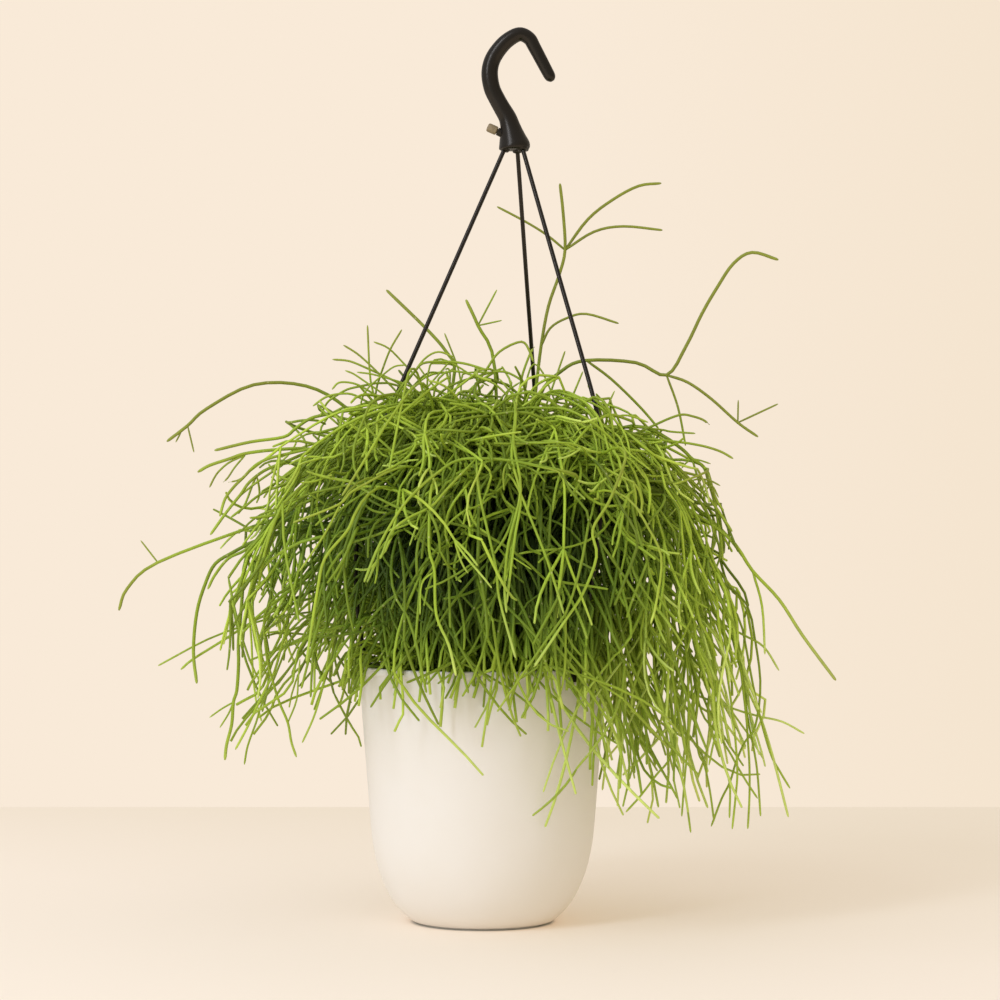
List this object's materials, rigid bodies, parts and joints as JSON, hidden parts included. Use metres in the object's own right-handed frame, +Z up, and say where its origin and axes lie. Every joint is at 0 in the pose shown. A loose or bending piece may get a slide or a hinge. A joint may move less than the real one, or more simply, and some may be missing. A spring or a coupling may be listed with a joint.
{
  "type": "potted mistletoe cactus",
  "caption": "Trailing mistletoe cactus with thin forking round stems in a smooth tapered hanging pot, with a hook and strand hanger standing above it.",
  "frame": {"origin": "centre of the pot's flat base, on the surface that the pot stands on", "axes": "+Z up along the pot's axis; -Y is the side that faces the viewer, +X is the viewer's right"},
  "size_m": [0.4243, 0.3195, 0.5361],
  "materials": {
    "pot_shell": "smooth satin cream",
    "potting_mix": "dark peat crumb, packed",
    "hanger_black": "moulded black with soft gloss",
    "pin_tan": "tan moulded peg",
    "stem_green": "waxy green succulent stem"
  },
  "bodies": {
    "root": {"pot": "pot_shell", "potting_mix": "potting_mix", "hanger_hook": "hanger_black", "hanger_pin": "pin_tan", "hanger_strand_left": "hanger_black", "hanger_strand_right": "hanger_black", "hanger_strand_back": "hanger_black", "spray_01": "stem_green", "spray_02": "stem_green", "spray_03": "stem_green", "spray_04": "stem_green", "spray_05": "stem_green", "spray_06": "stem_green", "spray_07": "stem_green", "spray_08": "stem_green", "spray_09": "stem_green", "spray_10": "stem_green", "spray_11": "stem_green", "spray_12": "stem_green", "spray_13": "stem_green", "spray_14": "stem_green", "spray_15": "stem_green", "spray_centre": "stem_green"}
  },
  "joints": []
}
